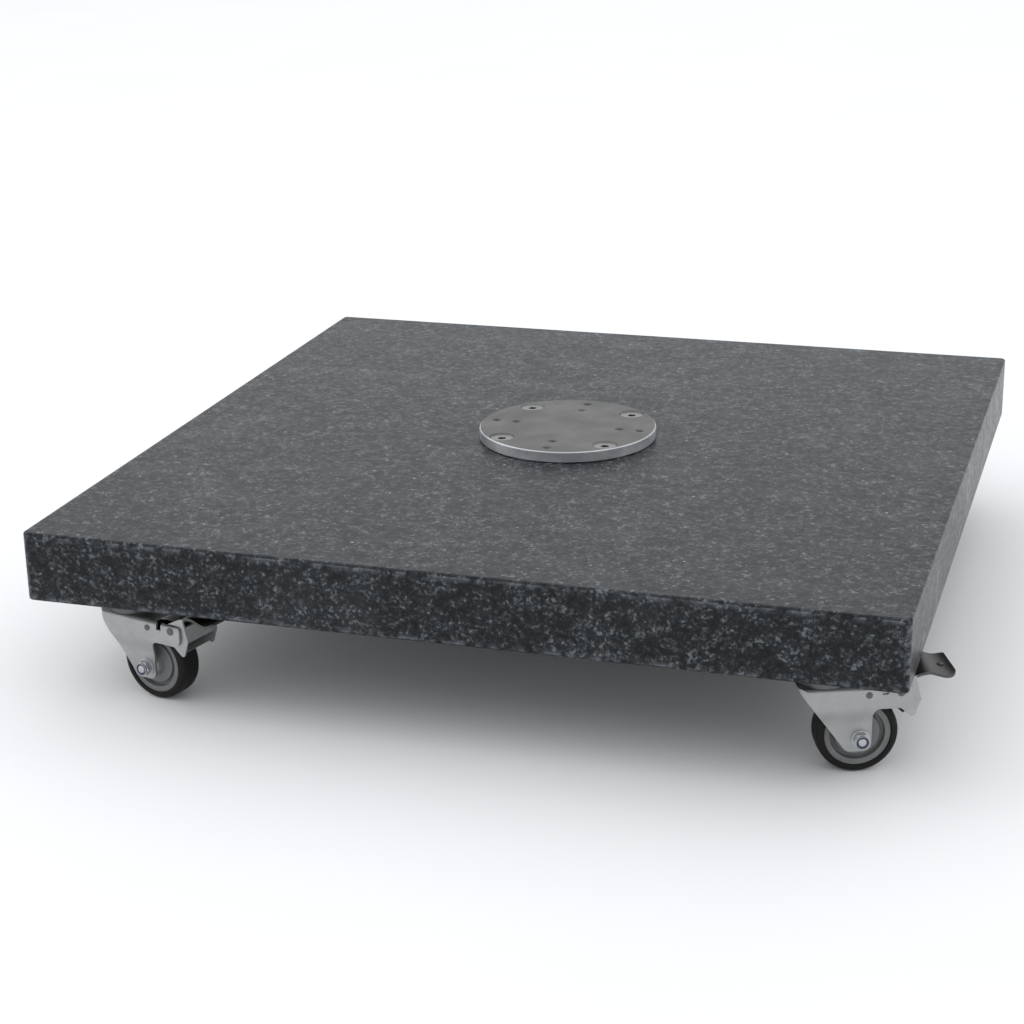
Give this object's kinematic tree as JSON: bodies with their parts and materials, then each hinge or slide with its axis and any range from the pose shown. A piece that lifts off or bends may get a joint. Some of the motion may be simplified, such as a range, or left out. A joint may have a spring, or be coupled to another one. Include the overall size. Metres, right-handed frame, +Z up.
{
  "type": "mobile granite parasol base",
  "caption": "Square granite slab on braked swivel casters with a round steel mounting plate for a parasol pole.",
  "frame": {"origin": "on the floor below the centre of the slab", "axes": "+Z up; X and Y along the slab's square sides; the front of the slab faces -Y"},
  "size_m": [0.9116, 0.85, 0.19],
  "materials": {
    "granite": "honed dark grey granite with fine light flecks",
    "plate_steel": "turned stainless",
    "screw_steel": "bright stainless",
    "brass": "turned",
    "zinc_steel": "zinc plated",
    "ball_steel": "polished",
    "fork_steel": "satin stainless",
    "pedal_steel": "satin stainless",
    "tyre": "smooth black rubber",
    "wheel_core": "moulded grey",
    "nylon": "moulded",
    "brake_rubber": "matte"
  },
  "bodies": {
    "base": {"granite_slab": "granite", "mounting_plate": "plate_steel", "plate_screws": "screw_steel", "plate_anchors": "brass", "caster_bolts": "screw_steel", "caster_anchors": "brass", "kingpins": "zinc_steel", "swivel_balls": "ball_steel", "front_right_top_plate": "fork_steel", "front_left_top_plate": "fork_steel", "back_left_top_plate": "fork_steel", "back_right_top_plate": "fork_steel"},
    "front_right_swivel": {"front_right_fork": "fork_steel", "front_right_lower_race": "zinc_steel", "front_right_swivel_bush": "nylon", "front_right_axle_bolt": "zinc_steel", "front_right_axle_nut": "zinc_steel", "front_right_axle_sleeve": "zinc_steel", "front_right_pivot_pins": "zinc_steel"},
    "front_right_wheel": {"front_right_tyre": "tyre", "front_right_wheel_core": "wheel_core", "front_right_wheel_bearings": "nylon"},
    "front_right_brake": {"front_right_brake_pedal": "pedal_steel", "front_right_brake_pad": "brake_rubber"},
    "front_left_swivel": {"front_left_fork": "fork_steel", "front_left_lower_race": "zinc_steel", "front_left_swivel_bush": "nylon", "front_left_axle_bolt": "zinc_steel", "front_left_axle_nut": "zinc_steel", "front_left_axle_sleeve": "zinc_steel", "front_left_pivot_pins": "zinc_steel"},
    "front_left_wheel": {"front_left_tyre": "tyre", "front_left_wheel_core": "wheel_core", "front_left_wheel_bearings": "nylon"},
    "front_left_brake": {"front_left_brake_pedal": "pedal_steel", "front_left_brake_pad": "brake_rubber"},
    "back_left_swivel": {"back_left_fork": "fork_steel", "back_left_lower_race": "zinc_steel", "back_left_swivel_bush": "nylon", "back_left_axle_bolt": "zinc_steel", "back_left_axle_nut": "zinc_steel", "back_left_axle_sleeve": "zinc_steel", "back_left_pivot_pins": "zinc_steel"},
    "back_left_wheel": {"back_left_tyre": "tyre", "back_left_wheel_core": "wheel_core", "back_left_wheel_bearings": "nylon"},
    "back_left_brake": {"back_left_brake_pedal": "pedal_steel", "back_left_brake_pad": "brake_rubber"},
    "back_right_swivel": {"back_right_fork": "fork_steel", "back_right_lower_race": "zinc_steel", "back_right_swivel_bush": "nylon", "back_right_axle_bolt": "zinc_steel", "back_right_axle_nut": "zinc_steel", "back_right_axle_sleeve": "zinc_steel", "back_right_pivot_pins": "zinc_steel"},
    "back_right_wheel": {"back_right_tyre": "tyre", "back_right_wheel_core": "wheel_core", "back_right_wheel_bearings": "nylon"},
    "back_right_brake": {"back_right_brake_pedal": "pedal_steel", "back_right_brake_pad": "brake_rubber"}
  },
  "joints": [
    {"name": "front_right_swivel_turn", "type": "hinge", "parent": "base", "child": "front_right_swivel", "pos_m": [0.341, -0.366, 0.0972], "axis": [0, 0, 1], "continuous": true},
    {"name": "front_right_wheel_spin", "type": "hinge", "parent": "front_right_swivel", "child": "front_right_wheel", "pos_m": [0.36964, -0.35414, 0.0381], "axis": [-0.3827, 0.9239, 0], "continuous": true},
    {"name": "front_right_brake_press", "type": "hinge", "parent": "front_right_swivel", "child": "front_right_brake", "pos_m": [0.40208, -0.3407, 0.08288], "axis": [-0.3827, 0.9239, 0], "range_deg": [0, 14]},
    {"name": "front_left_swivel_turn", "type": "hinge", "parent": "base", "child": "front_left_swivel", "pos_m": [-0.341, -0.366, 0.0972], "axis": [0, 0, 1], "continuous": true},
    {"name": "front_left_wheel_spin", "type": "hinge", "parent": "front_left_swivel", "child": "front_left_wheel", "pos_m": [-0.31099, -0.37376, 0.0381], "axis": [0.2504, 0.9681, 0], "continuous": true},
    {"name": "front_left_brake_press", "type": "hinge", "parent": "front_left_swivel", "child": "front_left_brake", "pos_m": [-0.277, -0.38255, 0.08288], "axis": [0.2504, 0.9681, 0], "range_deg": [0, 14]},
    {"name": "back_left_swivel_turn", "type": "hinge", "parent": "base", "child": "back_left_swivel", "pos_m": [-0.341, 0.366, 0.0972], "axis": [0, 0, 1], "continuous": true},
    {"name": "back_left_wheel_spin", "type": "hinge", "parent": "back_left_swivel", "child": "back_left_wheel", "pos_m": [-0.36964, 0.35414, 0.0381], "axis": [0.3827, -0.9239, 0], "continuous": true},
    {"name": "back_left_brake_press", "type": "hinge", "parent": "back_left_swivel", "child": "back_left_brake", "pos_m": [-0.40208, 0.3407, 0.08288], "axis": [0.3827, -0.9239, 0], "range_deg": [0, 14]},
    {"name": "back_right_swivel_turn", "type": "hinge", "parent": "base", "child": "back_right_swivel", "pos_m": [0.341, 0.366, 0.0972], "axis": [0, 0, 1], "continuous": true},
    {"name": "back_right_wheel_spin", "type": "hinge", "parent": "back_right_swivel", "child": "back_right_wheel", "pos_m": [0.31099, 0.37376, 0.0381], "axis": [-0.2504, -0.9681, 0], "continuous": true},
    {"name": "back_right_brake_press", "type": "hinge", "parent": "back_right_swivel", "child": "back_right_brake", "pos_m": [0.277, 0.38255, 0.08288], "axis": [-0.2504, -0.9681, 0], "range_deg": [0, 14]}
  ]
}
